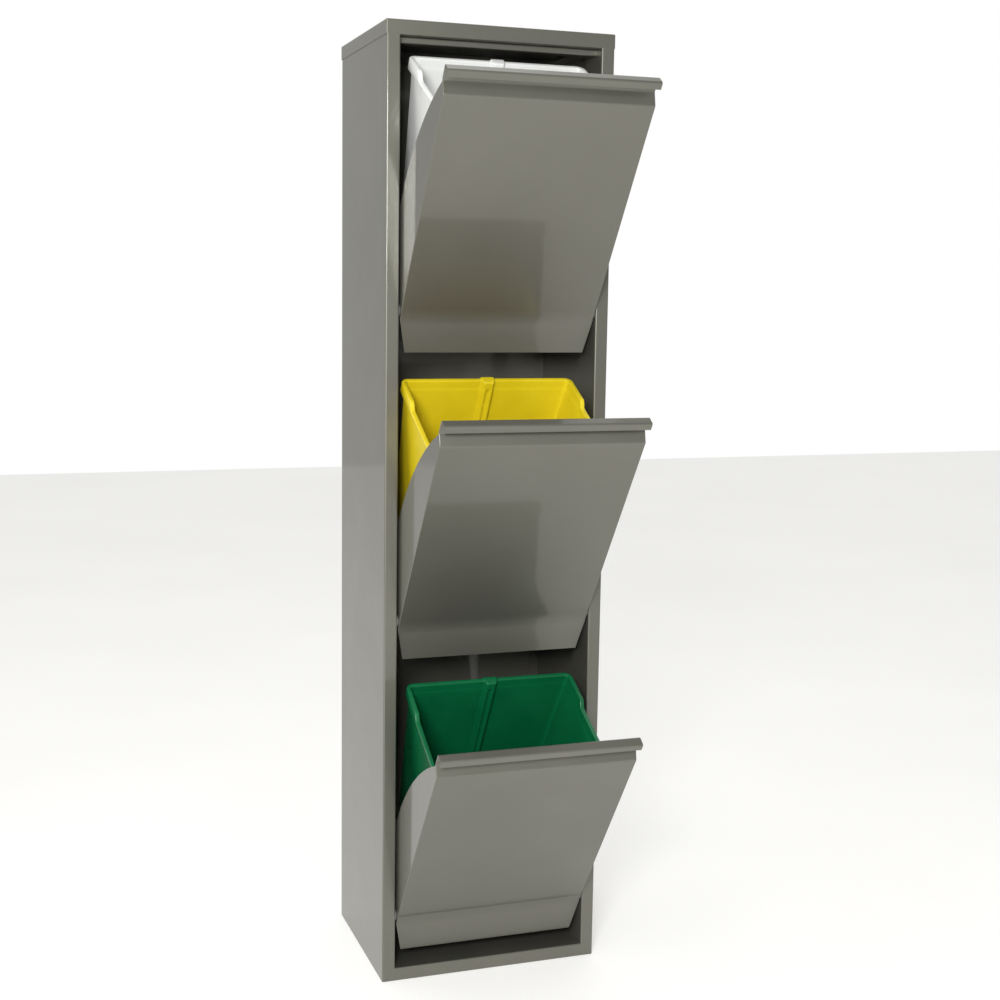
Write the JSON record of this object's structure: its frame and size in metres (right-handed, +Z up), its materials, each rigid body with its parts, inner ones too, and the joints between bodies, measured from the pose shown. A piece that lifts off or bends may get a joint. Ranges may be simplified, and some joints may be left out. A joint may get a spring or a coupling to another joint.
{
  "type": "recycling bin station",
  "caption": "Slim recycling tower: folded sheet-steel cabinet with tilting doors one above the other, each holding a loose plastic bin, shown tilted open.",
  "frame": {"origin": "centre of the cabinet's footprint on the floor", "axes": "+Z up, the doors face -Y, +X to the right seen from the front"},
  "size_m": [0.32, 0.4424, 1.305],
  "materials": {
    "silver_paint": "semi-gloss metallic",
    "white_plastic": "satin",
    "yellow_plastic": "satin",
    "green_plastic": "satin",
    "plated_steel": "zinc plated",
    "nylon": "matt"
  },
  "bodies": {
    "cabinet": {"left_side": "silver_paint", "right_side": "silver_paint", "back_panel": "silver_paint", "base_pan": "silver_paint", "top_cap": "silver_paint", "top_rail": "silver_paint", "back_rivets": "plated_steel", "rail_rivets": "plated_steel", "cap_screws": "plated_steel", "bottom_pivot_pins": "plated_steel", "bottom_pivot_washers": "nylon", "bottom_pivot_clips": "plated_steel", "middle_pivot_pins": "plated_steel", "middle_pivot_washers": "nylon", "middle_pivot_clips": "plated_steel", "top_pivot_pins": "plated_steel", "top_pivot_washers": "nylon", "top_pivot_clips": "plated_steel"},
    "bottom_door": {"bottom_door_panel": "silver_paint", "bottom_stop_pins": "plated_steel", "bottom_bin_cradle": "silver_paint", "bottom_cradle_rivets": "plated_steel"},
    "bottom_bin": {"bottom_bin": "green_plastic"},
    "middle_door": {"middle_door_panel": "silver_paint", "middle_stop_pins": "plated_steel", "middle_bin_cradle": "silver_paint", "middle_cradle_rivets": "plated_steel"},
    "middle_bin": {"middle_bin": "yellow_plastic"},
    "top_door": {"top_door_panel": "silver_paint", "top_stop_pins": "plated_steel", "top_bin_cradle": "silver_paint", "top_cradle_rivets": "plated_steel"},
    "top_bin": {"top_bin": "white_plastic"}
  },
  "joints": [
    {"name": "bottom_door_tilt", "type": "hinge", "parent": "cabinet", "child": "bottom_door", "pos_m": [0, -0.113, 0.0935], "axis": [1, 0, 0], "range_deg": [-34.5, 0]},
    {"name": "bottom_bin_lift", "type": "slide", "parent": "bottom_door", "child": "bottom_bin", "axis": [0, -0.5664, 0.8241], "range_m": [0, 0.25]},
    {"name": "middle_door_tilt", "type": "hinge", "parent": "cabinet", "child": "middle_door", "pos_m": [0, -0.113, 0.5135], "axis": [1, 0, 0], "range_deg": [-34.5, 0]},
    {"name": "middle_bin_lift", "type": "slide", "parent": "middle_door", "child": "middle_bin", "axis": [0, -0.5664, 0.8241], "range_m": [0, 0.25]},
    {"name": "top_door_tilt", "type": "hinge", "parent": "cabinet", "child": "top_door", "pos_m": [0, -0.113, 0.9335], "axis": [1, 0, 0], "range_deg": [-34.5, 0]},
    {"name": "top_bin_lift", "type": "slide", "parent": "top_door", "child": "top_bin", "axis": [0, -0.5664, 0.8241], "range_m": [0, 0.25]}
  ]
}
